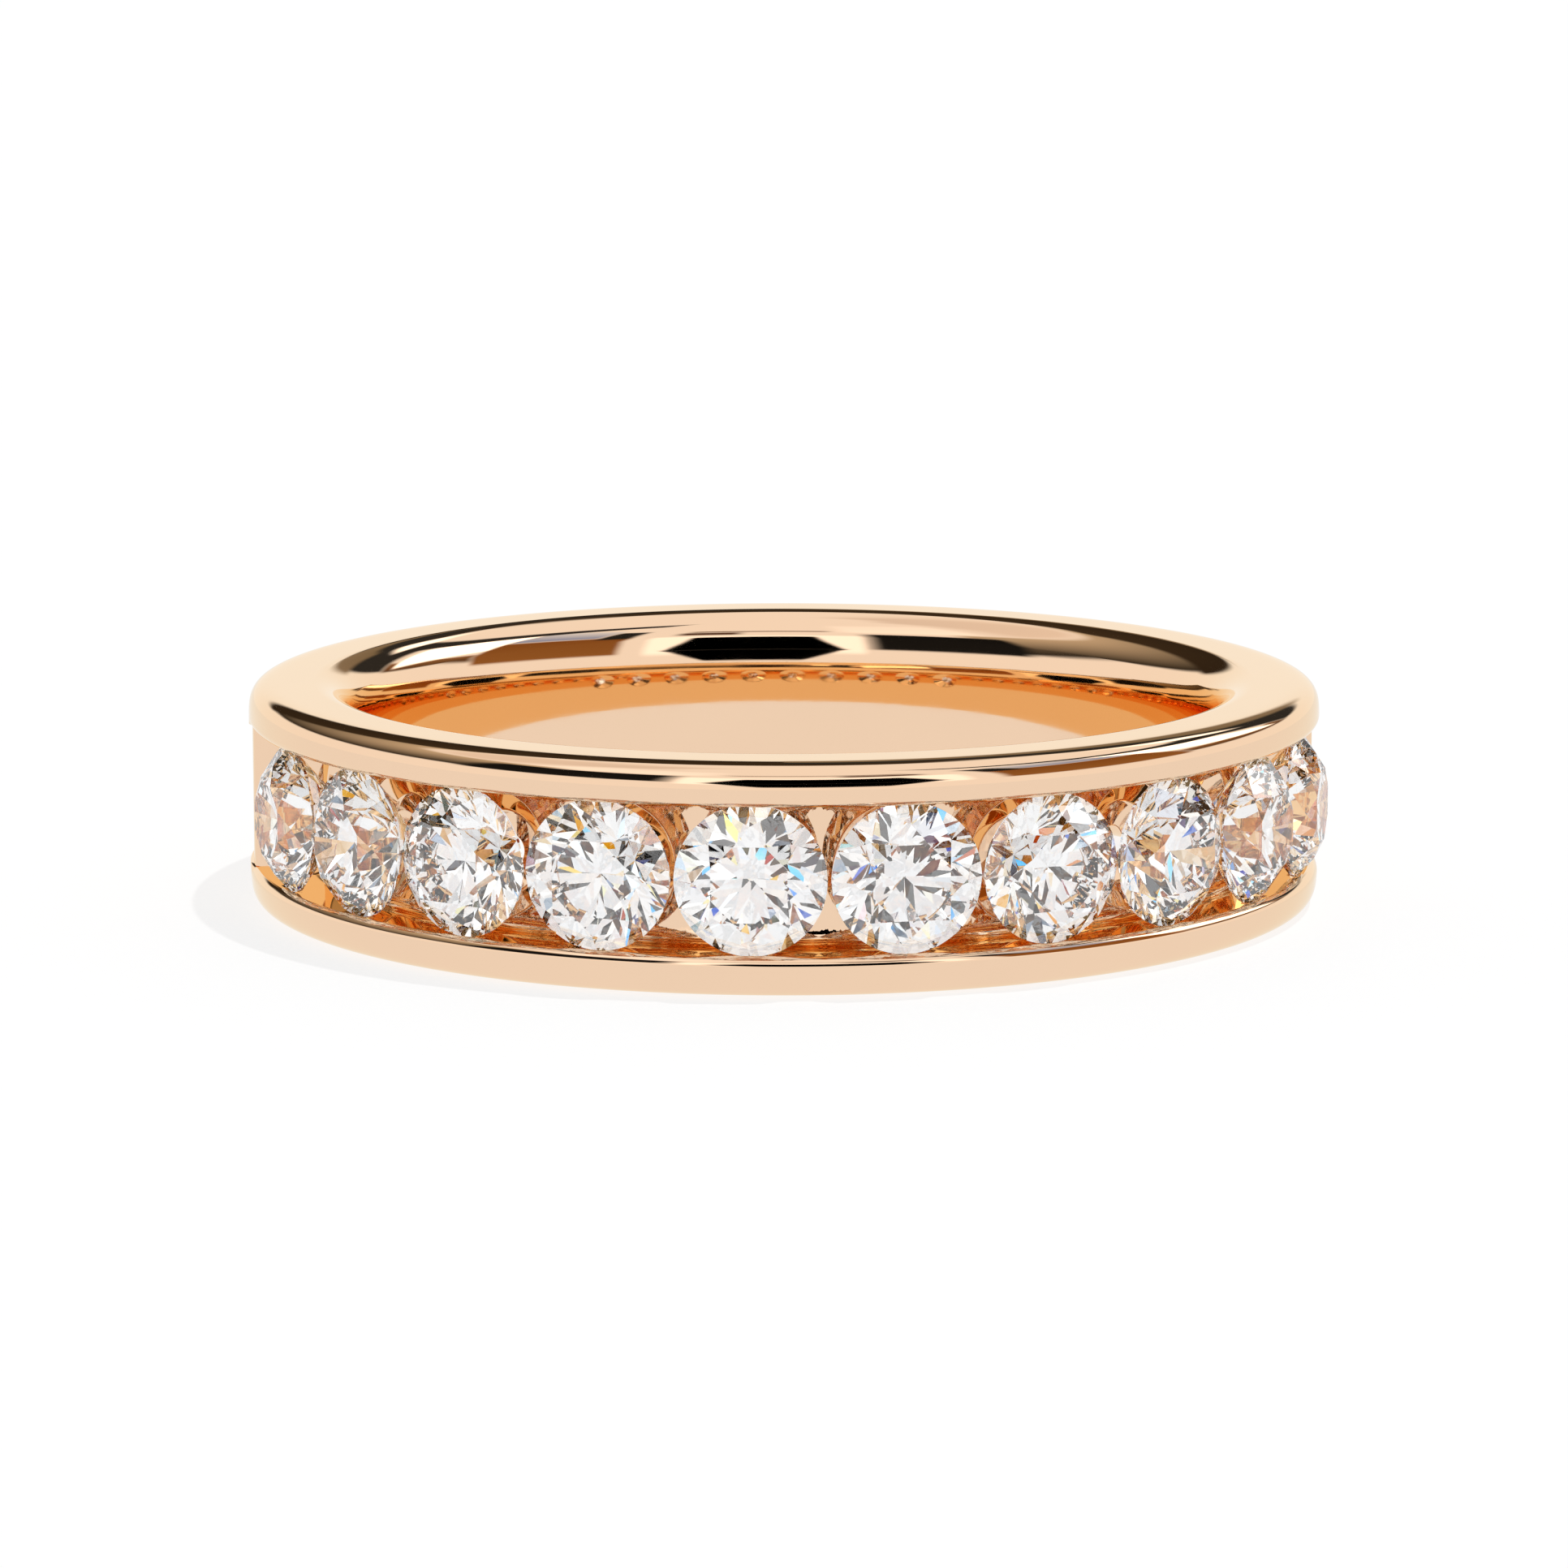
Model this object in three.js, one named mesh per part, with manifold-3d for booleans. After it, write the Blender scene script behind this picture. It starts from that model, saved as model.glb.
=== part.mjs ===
// Half-eternity wedding band: two full rings (the rails) with a solid back shank and a
// pierced gallery soldered between them, and ten round brilliants channel-set between the
// rails. Millimetres, +Z along the finger. The origin is the centre of the finger hole in
// the plane of the lower side face, and the middle of the stone row faces -Y.

import * as THREE from 'three';
import { mergeVertices } from 'three/addons/utils/BufferGeometryUtils.js';
import { ConvexGeometry } from 'three/addons/geometries/ConvexGeometry.js';
import Module from 'manifold-3d';

// ---- Driving dimensions (mm, degrees) ----
const OUTER_R = 10.85; // outer face of the band
const INNER_R = 8.65; // finger hole at its narrowest, half way up
const WIDTH = 4.45; // along the finger
const COMFORT_R = 13.5; // crown radius of the comfort-fit inner wall
const INNER_FILLET = 0.79; // inner wall to side face
const CORNER_RADIAL = 0.85; // soft outer corner, measured along the radius
const CORNER_AXIAL = 0.8; // soft outer corner, measured along the finger
const CORNER_POWER = 4; // superellipse exponent of the outer corner

const RAIL_T = 0.81; // thickness of each rail along the finger
const RAIL_EDGE = 0.19; // round on the rail's edge beside the stones
const FLOOR_R = 9.5; // channel floor
const CHANNEL_HALF = 80.3; // ends of the channel floor, either side of its middle
const RAMP_HALF = 86.5; // where the ramp at each end of the channel meets the outer face

const STONES = 10;
const PITCH = 16; // between neighbouring stones
const STONE_D = 2.89;
const GIRDLE_R = 10.5; // lower edge of the girdle, measured from the ring's axis
const GIRDLE_T = 0.08; // girdle thickness
const TABLE_SHARE = 0.54; // table diameter as a share of the stone's
const CROWN_ANGLE = 35.5;
const PAVILION_DEPTH = 1.243;
const STAR_SHARE = 0.5; // star facets reach half way to the girdle
const LOWER_SHARE = 0.77; // lower-half facets reach this far to the culet
const GROOVE_GAP = 0.02; // clearance round a girdle in its groove

const SEAT_R = 1.27; // seat in the channel floor, where it opens outwards
const SHOULDER_R = 0.8; // where the seat's wall turns shallower
const SHOULDER_H = 9.15; // its distance from the ring's axis
const NECK_R = 0.28; // through-hole under the seat, at its narrowest
const NECK_H = 9.02;
const AZURE_R = 0.75; // the same hole where it opens into the finger hole

const SEGMENTS = 72; // around the finger
const HOLE_SIDES = 24;

const RAD = Math.PI / 180;
const wasm = await Module();
wasm.setup();

// ---- Helpers: a closed geometry to a solid and back ----
function solid(geometry) {
  const g = geometry.index ? geometry.toNonIndexed() : geometry.clone();
  for (const name of Object.keys(g.attributes)) if (name !== 'position') g.deleteAttribute(name);
  const merged = mergeVertices(g, 1e-5);
  const p = merged.attributes.position.array;
  let tris = [];
  const index = merged.index.array;
  let volume = 0;
  for (let i = 0; i < index.length; i += 3) {
    const [a, b, c] = [index[i], index[i + 1], index[i + 2]];
    if (a === b || b === c || c === a) continue;
    tris.push(a, b, c);
    const [ax, ay, az] = [p[3 * a], p[3 * a + 1], p[3 * a + 2]];
    const [bx, by, bz] = [p[3 * b], p[3 * b + 1], p[3 * b + 2]];
    const [cx, cy, cz] = [p[3 * c], p[3 * c + 1], p[3 * c + 2]];
    volume += ax * (by * cz - bz * cy) + ay * (bz * cx - bx * cz) + az * (bx * cy - by * cx);
  }
  if (volume < 0) tris = tris.map((_, i) => tris[i - (i % 3) + ((3 - (i % 3)) % 3)]);
  return new wasm.Manifold(
    new wasm.Mesh({
      numProp: 3,
      vertProperties: new Float32Array(p),
      triVerts: new Uint32Array(tris),
    }),
  );
}

function geometry(body) {
  const m = body.getMesh();
  const g = new THREE.BufferGeometry();
  g.setAttribute('position', new THREE.BufferAttribute(new Float32Array(m.vertProperties), 3));
  g.setIndex(new THREE.BufferAttribute(new Uint32Array(m.triVerts), 1));
  g.computeVertexNormals();
  return g;
}

// A closed section of [r, z] points turned once round the finger axis.
function turned(section) {
  const points = [...section, section[0]].map(([r, z]) => new THREE.Vector2(r, z));
  const g = new THREE.LatheGeometry(points, SEGMENTS);
  g.rotateX(Math.PI / 2); // the lathe's axis, Y, becomes +Z
  return g;
}

// The sector of the ring from angle a to angle b, measured from -Y towards +X.
function sector(a, b, low = -1, high = WIDTH + 1) {
  const shape = new THREE.Shape();
  shape.moveTo(0, 0);
  const steps = Math.max(2, Math.ceil((b - a) / 30));
  for (let i = 0; i <= steps; i++) {
    const t = (a + ((b - a) * i) / steps) * RAD;
    shape.lineTo(30 * Math.sin(t), -30 * Math.cos(t));
  }
  shape.closePath();
  const g = new THREE.ExtrudeGeometry(shape, { depth: high - low, bevelEnabled: false });
  g.translate(0, 0, low);
  return solid(g);
}

// ---- Sections ----
const mid = WIDTH / 2;
const innerWall = (z) =>
  INNER_R + COMFORT_R - Math.sqrt(COMFORT_R ** 2 - (z - mid) ** 2);

// Inner fillet, from the side face (z = 0) up to the inner wall, as [r, z] points. It touches both.
const filletTilt = Math.asin((mid - INNER_FILLET) / (COMFORT_R - INNER_FILLET));
const filletR = INNER_R + COMFORT_R - (COMFORT_R - INNER_FILLET) * Math.cos(filletTilt);
function innerFillet(steps) {
  const out = [];
  for (let i = 0; i <= steps; i++) {
    const t = (i / steps) * (Math.PI / 2 - filletTilt);
    out.push([filletR - INNER_FILLET * Math.sin(t), INNER_FILLET * (1 - Math.cos(t))]);
  }
  return out;
}

// Outer corner, from the side face (z = 0) up to the outer face, as [r, z] points.
function outerCorner(steps) {
  const out = [];
  for (let i = 0; i <= steps; i++) {
    const t = (i / steps) * 90 * RAD;
    out.push([
      OUTER_R - CORNER_RADIAL + CORNER_RADIAL * Math.sin(t) ** (2 / CORNER_POWER),
      CORNER_AXIAL - CORNER_AXIAL * Math.cos(t) ** (2 / CORNER_POWER),
    ]);
  }
  return out;
}

// Lower rail, counter-clockwise in (r, z): side face, outer corner, joint plane, fillet.
const lowerRailSection = [
  ...outerCorner(6),
  [OUTER_R, RAIL_T],
  [innerWall(RAIL_T), RAIL_T],
  ...innerFillet(5).reverse(),
];

const mirrored = (section) => section.map(([r, z]) => [r, WIDTH - z]).reverse();

// The body between the rails' joint planes, out to a given radius.
function coreSection(outer) {
  const out = [
    [outer, RAIL_T],
    [outer, WIDTH - RAIL_T],
  ];
  const steps = 4;
  for (let i = 0; i <= steps; i++) {
    const z = WIDTH - RAIL_T - ((WIDTH - 2 * RAIL_T) * i) / steps;
    out.push([innerWall(z), z]);
  }
  return out;
}

// What the round on a rail's channel-side edge takes away, over the channel only.
function edgeCutter() {
  const c = [OUTER_R - RAIL_EDGE, RAIL_T - RAIL_EDGE];
  const out = [];
  for (let i = 0; i <= 3; i++) {
    const t = (i / 3) * 90 * RAD;
    out.push([c[0] + RAIL_EDGE * Math.cos(t), c[1] + RAIL_EDGE * Math.sin(t)]);
  }
  out.push([c[0], RAIL_T + 0.3], [OUTER_R + 0.3, RAIL_T + 0.3], [OUTER_R + 0.3, c[1]]);
  return out;
}

// ---- Stones ----
const stoneR = STONE_D / 2;
const tableR = stoneR * TABLE_SHARE;
const crownH = (stoneR - tableR) * Math.tan(CROWN_ANGLE * RAD);

// One round brilliant, girdle's lower edge at z = 0 and table towards +Z.
function brilliant() {
  const points = [];
  const at = (r, deg, z) => points.push(new THREE.Vector3(r * Math.cos(deg * RAD), r * Math.sin(deg * RAD), z));
  const half = Math.cos(22.5 * RAD);
  const starR = tableR * half + STAR_SHARE * (stoneR - tableR * half);
  const starZ = GIRDLE_T + crownH - (starR * half - tableR) * Math.tan(CROWN_ANGLE * RAD);
  const lowerR = (1 - LOWER_SHARE) * stoneR;
  for (let k = 0; k < 8; k++) {
    const main = 22.5 + 45 * k;
    at(tableR, main, GIRDLE_T + crownH);
    at(starR, main + 22.5, starZ);
    at(lowerR, main + 22.5, -PAVILION_DEPTH * (1 - (lowerR * half) / stoneR));
  }
  for (let k = 0; k < 16; k++) {
    at(stoneR, 22.5 * k, GIRDLE_T);
    at(stoneR, 22.5 * k, 0);
  }
  points.push(new THREE.Vector3(0, 0, -PAVILION_DEPTH));
  return new ConvexGeometry(points);
}

// Turned cutter that leaves a groove in the rails for the girdle, a little larger than it.
function grooveCutter() {
  const r = stoneR + GROOVE_GAP;
  const g = new THREE.LatheGeometry(
    [
      [0, -1.1],
      [r, -GROOVE_GAP],
      [r, GIRDLE_T + GROOVE_GAP],
      [0, GIRDLE_T + 1.1],
    ].map(([x, y]) => new THREE.Vector2(x, y)),
    32,
  );
  g.rotateX(Math.PI / 2);
  return g;
}

// Turned cutter for a seat and its azure: two cones down to a neck, and a flare into the finger hole.
function azureCutter() {
  const wall = (SEAT_R - SHOULDER_R) / (FLOOR_R - SHOULDER_H);
  const flare = (AZURE_R - NECK_R) / (NECK_H - INNER_R);
  const low = INNER_R - 0.4;
  const high = FLOOR_R + 0.4;
  const g = new THREE.LatheGeometry(
    [
      [0, low],
      [NECK_R + flare * (NECK_H - low), low],
      [NECK_R, NECK_H],
      [SHOULDER_R, SHOULDER_H],
      [SEAT_R + wall * (high - FLOOR_R), high],
      [0, high],
    ].map(([x, y]) => new THREE.Vector2(x, y)),
    HOLE_SIDES,
  );
  g.rotateX(Math.PI / 2);
  return g;
}

// Stands something modelled on +Z out of the band at a stone's place.
const outward = new THREE.Matrix4().makeRotationX(Math.PI / 2); // +Z to -Y
function atStone(deg, r = 0) {
  return new THREE.Matrix4()
    .makeTranslation(0, 0, mid)
    .multiply(new THREE.Matrix4().makeRotationZ(deg * RAD))
    .multiply(outward)
    .multiply(new THREE.Matrix4().makeTranslation(0, 0, r));
}
const places = Array.from({ length: STONES }, (_, i) => (i - (STONES - 1) / 2) * PITCH);

// ---- Bodies ----
const channel = sector(-CHANNEL_HALF, CHANNEL_HALF);
const back = sector(CHANNEL_HALF, 360 - CHANNEL_HALF);
const edged = sector(-RAMP_HALF, RAMP_HALF);

// What the ramp at one end of the channel takes off the shank; side is -1 or 1.
function rampCutter(side) {
  const at = (r, deg) => [side * r * Math.sin(deg * RAD), -r * Math.cos(deg * RAD)];
  const [foot, head] = [at(FLOOR_R, CHANNEL_HALF), at(OUTER_R, RAMP_HALF)];
  const past = [head[0] + (head[0] - foot[0]), head[1] + (head[1] - foot[1])];
  const shape = new THREE.Shape();
  [foot, head, past, at(15, 70), at(FLOOR_R, 70)].forEach(([x, y], i) =>
    i ? shape.lineTo(x, y) : shape.moveTo(x, y),
  );
  shape.closePath();
  const g = new THREE.ExtrudeGeometry(shape, { depth: WIDTH + 2, bevelEnabled: false });
  g.translate(0, 0, -1);
  return solid(g);
}

const grooves = places.map((deg) => solid(grooveCutter().applyMatrix4(atStone(deg, GIRDLE_R))));
function rail(section, edge) {
  let body = solid(turned(section)).subtract(solid(turned(edge)).intersect(edged));
  for (const g of grooves) body = body.subtract(g);
  return body;
}
const lowerRail = rail(lowerRailSection, edgeCutter());
const upperRail = rail(mirrored(lowerRailSection), mirrored(edgeCutter()));

const shank = solid(turned(coreSection(OUTER_R)))
  .intersect(back)
  .subtract(rampCutter(-1))
  .subtract(rampCutter(1));

let gallery = solid(turned(coreSection(FLOOR_R))).intersect(channel);
for (const deg of places) gallery = gallery.subtract(solid(azureCutter().applyMatrix4(atStone(deg))));

// ---- Scene graph ----
const roseGold = () => new THREE.MeshStandardMaterial({ color: 0xf0cfae, roughness: 0.08, metalness: 1 });
const diamond = () => new THREE.MeshStandardMaterial({ color: 0xeef4fa, roughness: 0.02, metalness: 0 });

const ring = new THREE.Group();
function add(name, geom, material) {
  const mesh = new THREE.Mesh(geom, material);
  mesh.name = name;
  ring.add(mesh);
  return mesh;
}
add('shank', geometry(shank), roseGold());
add('upper_rail', geometry(upperRail), roseGold());
add('lower_rail', geometry(lowerRail), roseGold());
add('gallery', geometry(gallery), roseGold());
places.forEach((deg, i) => {
  const stone = add(`diamond_${String(i + 1).padStart(2, '0')}`, brilliant(), diamond());
  stone.applyMatrix4(atStone(deg, GIRDLE_R));
});

export default ring;
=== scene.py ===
"""Half-eternity wedding band: fine surfaces, materials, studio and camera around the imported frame."""

import math

import bmesh
import bpy
import numpy as np
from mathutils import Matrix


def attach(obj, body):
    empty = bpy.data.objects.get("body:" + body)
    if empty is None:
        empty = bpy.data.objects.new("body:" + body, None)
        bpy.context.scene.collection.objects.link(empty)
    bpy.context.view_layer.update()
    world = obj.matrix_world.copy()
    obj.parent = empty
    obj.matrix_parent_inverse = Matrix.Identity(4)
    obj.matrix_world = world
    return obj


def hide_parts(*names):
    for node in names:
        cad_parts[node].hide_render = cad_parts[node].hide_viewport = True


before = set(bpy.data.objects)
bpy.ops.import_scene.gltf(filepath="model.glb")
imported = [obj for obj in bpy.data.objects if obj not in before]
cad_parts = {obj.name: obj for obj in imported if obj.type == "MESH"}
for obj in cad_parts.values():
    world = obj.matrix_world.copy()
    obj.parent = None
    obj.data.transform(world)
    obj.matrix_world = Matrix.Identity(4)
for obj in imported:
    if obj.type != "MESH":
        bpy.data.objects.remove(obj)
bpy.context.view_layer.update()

# ---------------------------------------------------------------- sizes, in mm, as the frame has them
OUTER_R, WIDTH = 10.85, 4.45
INNER_R, COMFORT_R, INNER_FILLET = 8.65, 13.5, 0.79
CORNER_RADIAL, CORNER_AXIAL, CORNER_POWER = 0.85, 0.8, 4.0
RAIL_T, RAIL_EDGE = 0.81, 0.19
FLOOR_R, FLOOR_FILLET = 9.5, 0.28
CHANNEL_HALF, RAMP_HALF = 80.3, 86.5  # the channel floor ends at the first and its ramp meets the shank's face at the second
STONES, PITCH = 10, 16.0
STONE_R, GIRDLE_R, GIRDLE_T = 1.445, 10.5, 0.08
TABLE_SHARE, CROWN_ANGLE, PAVILION_DEPTH = 0.54, 35.5, 1.243
STAR_SHARE, LOWER_SHARE = 0.5, 0.77
GROOVE_GAP = 0.02
SEAT_R, SHOULDER_R, SHOULDER_H = 1.27, 0.8, 9.15  # the seat in the channel floor and where its wall turns shallower
NECK_R, NECK_H, AZURE_R = 0.28, 9.02, 0.75  # its through-hole, and that hole's flare into the finger hole
MID = WIDTH / 2
HALF = MID - RAIL_T
RECESS = 0.07  # the shank's face beside the channel ends lies this much below the rails' faces
CAMERA_AZ = -4.6
LAMP_POWER = 0.95
FIRE = 0.6  # how far, in degrees, red and blue part from green in light that has passed a stone
PLACES = [(i - (STONES - 1) / 2) * PITCH for i in range(STONES)]

MM = 0.001
scene = bpy.context.scene


def rad(a):
    return np.radians(a)


CROWN = (0.0268, 0.03, 0.012)  # the comfort-fit inner wall swells towards its middle, flatter there than at its edges


def inner_wall(z):
    d = np.asarray(z) - MID
    return INNER_R + CROWN[0] * d**2 / 2 + CROWN[1] * d**4 / 4 + CROWN[2] * d**6 / 6


def inner_slope(z):
    """How fast the inner wall's radius grows with height."""
    d = np.asarray(z) - MID
    return CROWN[0] * d + CROWN[1] * d**3 + CROWN[2] * d**5


# ---------------------------------------------------------------- mesh building
class Builder:
    """Collects grids of points with their own normals, then welds them into one closed mesh."""

    def __init__(self):
        self.points, self.quads, self.normals, self.kinds, self.count = [], [], [], [], 0

    def grid(self, p, n=None, closed=False, kind=0):
        """p is (rows, columns, 3); closed joins the last row to the first."""
        p = np.asarray(p, float)
        if n is None:
            n = grid_normals(p, closed)
        rows, cols = p.shape[:2]
        self.points.append(p.reshape(-1, 3))
        i, j = np.meshgrid(
            np.arange(rows if closed else rows - 1), np.arange(cols - 1), indexing="ij"
        )
        k = (i + 1) % rows
        q = np.stack([i * cols + j, k * cols + j, k * cols + j + 1, i * cols + j + 1], -1)
        self.quads.append(q.reshape(-1, 4) + self.count)
        self.normals.append(np.asarray(n, float).reshape(-1, 3))
        self.kinds.append(np.full(q.shape[0] * q.shape[1], kind))
        self.count += rows * cols

    def make(self, name, materials):
        pts = np.concatenate(self.points)
        nrm = np.concatenate(self.normals)
        quads = np.concatenate(self.quads)
        kinds = np.concatenate(self.kinds)
        # each face turns the way its normals say
        a, b, c, d = (pts[quads[:, k]] for k in range(4))
        out = np.cross(c - a, d - b)
        wrong = (out * nrm[quads].sum(1)).sum(1) < 0
        quads[wrong] = quads[wrong][:, ::-1]
        key = np.round(pts / 2e-5).astype(np.int64)
        _, first, inverse = np.unique(key, axis=0, return_index=True, return_inverse=True)
        inverse = inverse.reshape(-1)
        verts = pts[first]
        faces, loop_normals, slots = [], [], []
        for q, kd in zip(quads, kinds, strict=True):
            ids, keep = [], []
            for v in q:
                w = int(inverse[v])
                if w not in ids:
                    ids.append(w)
                    keep.append(v)
            if len(ids) > 2:
                faces.append(ids)
                loop_normals.extend(nrm[keep])
                slots.append(int(kd))
        mesh = bpy.data.meshes.new(name)
        mesh.from_pydata((verts * MM).tolist(), [], faces)
        mesh.polygons.foreach_set("use_smooth", [True] * len(faces))
        mesh.polygons.foreach_set("material_index", slots)
        for m in materials:
            mesh.materials.append(m)
        mesh.update()
        mesh.normals_split_custom_set(np.array(loop_normals).tolist())
        ob = bpy.data.objects.new(name, mesh)
        scene.collection.objects.link(ob)
        return ob


def unit(v):
    return v / np.maximum(np.linalg.norm(v, axis=-1, keepdims=True), 1e-12)


def slopes(p, axis, closed=False):
    if closed:
        return (np.roll(p, -1, axis) - np.roll(p, 1, axis)) / 2
    return np.gradient(p, axis=axis, edge_order=2 if p.shape[axis] > 2 else 1)


def grid_normals(p, closed=False):
    """Normals by differences; the caller's grids run so that rows go round +Z and columns keep the body on their left."""
    return unit(np.cross(slopes(p, 0, closed), slopes(p, 1)))


def polar(theta, r, z):
    """Points at angle theta (degrees from -Y towards +X), radius r and height z."""
    t = rad(np.asarray(theta, float))
    t, r, z = np.broadcast_arrays(t, r, z)
    return np.stack([r * np.sin(t), -r * np.cos(t), z], -1)


def arc(cx, cy, radius, a, b, n):
    t = rad(np.linspace(a, b, n))
    return np.stack([cx + radius * np.cos(t), cy + radius * np.sin(t)], -1)


def even(points, n, turn=0.6):
    """n points along a polyline, spaced by length and by how far the line turns."""
    d = np.diff(points, axis=0)
    length = np.linalg.norm(d, axis=1)
    heading = np.unwrap(np.arctan2(d[:, 1], d[:, 0]))
    bend = np.concatenate([[0], np.abs(np.diff(heading))])
    weight = length / length.sum() + turn * bend / max(bend.sum(), 1e-9)
    s = np.concatenate([[0], np.cumsum(weight)])
    at = np.linspace(0, s[-1], n)
    return np.stack([np.interp(at, s, points[:, k]) for k in range(2)], -1)


# the inner fillet touches both the crowned inner wall and the side face
FILLET_Z = INNER_FILLET
for _ in range(200):
    FILLET_TILT = math.atan(-float(inner_slope(FILLET_Z)))
    FILLET_Z = INNER_FILLET - INNER_FILLET * math.sin(FILLET_TILT)
FILLET_R = float(inner_wall(FILLET_Z)) + INNER_FILLET * math.cos(FILLET_TILT)


def outer_corner(top, n=30):
    """The soft outer corner from the side face up to height top."""
    t = rad(np.linspace(0, 90, 4000))
    p = np.stack(
        [
            OUTER_R - CORNER_RADIAL + CORNER_RADIAL * np.sin(t) ** (2 / CORNER_POWER),
            CORNER_AXIAL - CORNER_AXIAL * np.cos(t) ** (2 / CORNER_POWER),
        ],
        -1,
    )
    p = p[p[:, 1] <= top]
    # drawn out to end on the outer face itself, with no step at the top
    foot = OUTER_R - CORNER_RADIAL
    p[:, 0] = foot + (p[:, 0] - foot) * CORNER_RADIAL / (p[-1, 0] - foot)
    p[-1] = [OUTER_R, top]
    return even(p, n)


def groove(theta, r):
    """How deep the seat grooves are cut in the rail's wall, at angle theta and radius r."""
    depth = np.zeros(np.broadcast(theta, r).shape)
    for c in PLACES:
        d = rad(theta - c)
        h, t = r * np.cos(d), r * np.sin(d)
        big = STONE_R + GROOVE_GAP
        under = np.clip(GIRDLE_R - GROOVE_GAP - h, 0, None)
        over = np.clip(h - (GIRDLE_R + GIRDLE_T + GROOVE_GAP), 0, None)
        rc = big - under * 1.16 - over * 1.4
        inside = np.where((rc > 0) & (np.abs(t) < rc), rc**2 - t**2, 0)
        depth = np.maximum(depth, np.where(np.abs(t) < STONE_R, np.sqrt(inside) - HALF, 0))
    return np.clip(depth, 0, None)


def smooth_step(x):
    x = np.clip(x, 0, 1)
    return x * x * (3 - 2 * x)


THETA = np.arange(0, 360, 0.75)
AWAY = np.abs((THETA + 180) % 360 - 180)  # from the middle of the row
PAST = AWAY - RAMP_HALF  # degrees past the channel's end
EDGE_AT = np.where(PAST < -0.4, RAIL_EDGE, 0.004 + (RAIL_EDGE - 0.004) * (1 - smooth_step((PAST + 0.4) / 3.0)))
RECESS_AT = RECESS * (1 - smooth_step((PAST - 2) / 40))


def rail(name, lower, materials):
    """One rail; the upper one is the lower one's mirror image."""
    b = Builder()
    flip = (lambda p: p) if lower else (lambda p: p * [1, 1, -1] + [0, 0, WIDTH])
    t = THETA[:, None]

    corner = np.stack([outer_corner(RAIL_T - e) for e in EDGE_AT])
    edge = np.stack([arc(OUTER_R - e, RAIL_T - e, e, 0, 90, 12) for e in EDGE_AT])
    outside = np.concatenate([corner, edge[:, 1:]], 1)
    p = polar(t, outside[..., 0], outside[..., 1])
    # the side face runs into the corner and the wall out of the edge, so their normals there are exact
    n = grid_normals(p, True)
    n[:, 0], n[:, -1] = [0, 0, -1], [0, 0, 1]
    b_grid(b, p, n, flip)

    inside = OUTER_R - EDGE_AT[:, None]
    stops = np.array([0, 0.03, 0.055, 0.075, 0.09, 0.105, 0.12, 0.135, 0.15, 0.17, 0.2, 0.26, 0.4, 0.6, 0.85, 1.0])
    radii = inside - stops * (inside - FLOOR_R)
    p = polar(t, radii, RAIL_T - groove(t, radii))
    n = grid_normals(p, True)
    n[:, 0] = n[:, -1] = [0, 0, 1]
    b_grid(b, p, n, flip)

    radii = np.linspace(FLOOR_R, float(inner_wall(RAIL_T)), 4)[None, :]
    p = polar(t, radii, RAIL_T)
    b_grid(b, p, np.broadcast_to([0.0, 0, 1], p.shape), flip)

    z = np.linspace(RAIL_T, FILLET_Z, 4)
    lip = np.stack([inner_wall(z), z], -1)
    bend = arc(FILLET_R, INNER_FILLET, INNER_FILLET, 180 + math.degrees(FILLET_TILT), 270, 30)
    line = np.vstack([lip[:-1], bend])
    p = polar(t, line[None, :, 0], line[None, :, 1])
    n = grid_normals(p, True)
    n[:, -1] = [0, 0, -1]
    b_grid(b, p, n, flip)

    radii = np.linspace(FILLET_R, OUTER_R - CORNER_RADIAL, 4)[None, :]
    p = polar(t, radii, 0.0)
    b_grid(b, p, np.broadcast_to([0.0, 0, -1], p.shape), flip)
    return b.make(name, materials)


def b_grid(b, p, n, flip, closed=True, kind=0):
    """Adds a grid whose normals point out of the body, mirrored by flip if need be."""
    far = flip(np.zeros((1, 3)))[0]
    b.grid(flip(p), flip(np.asarray(n)) - far, closed, kind)


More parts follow.
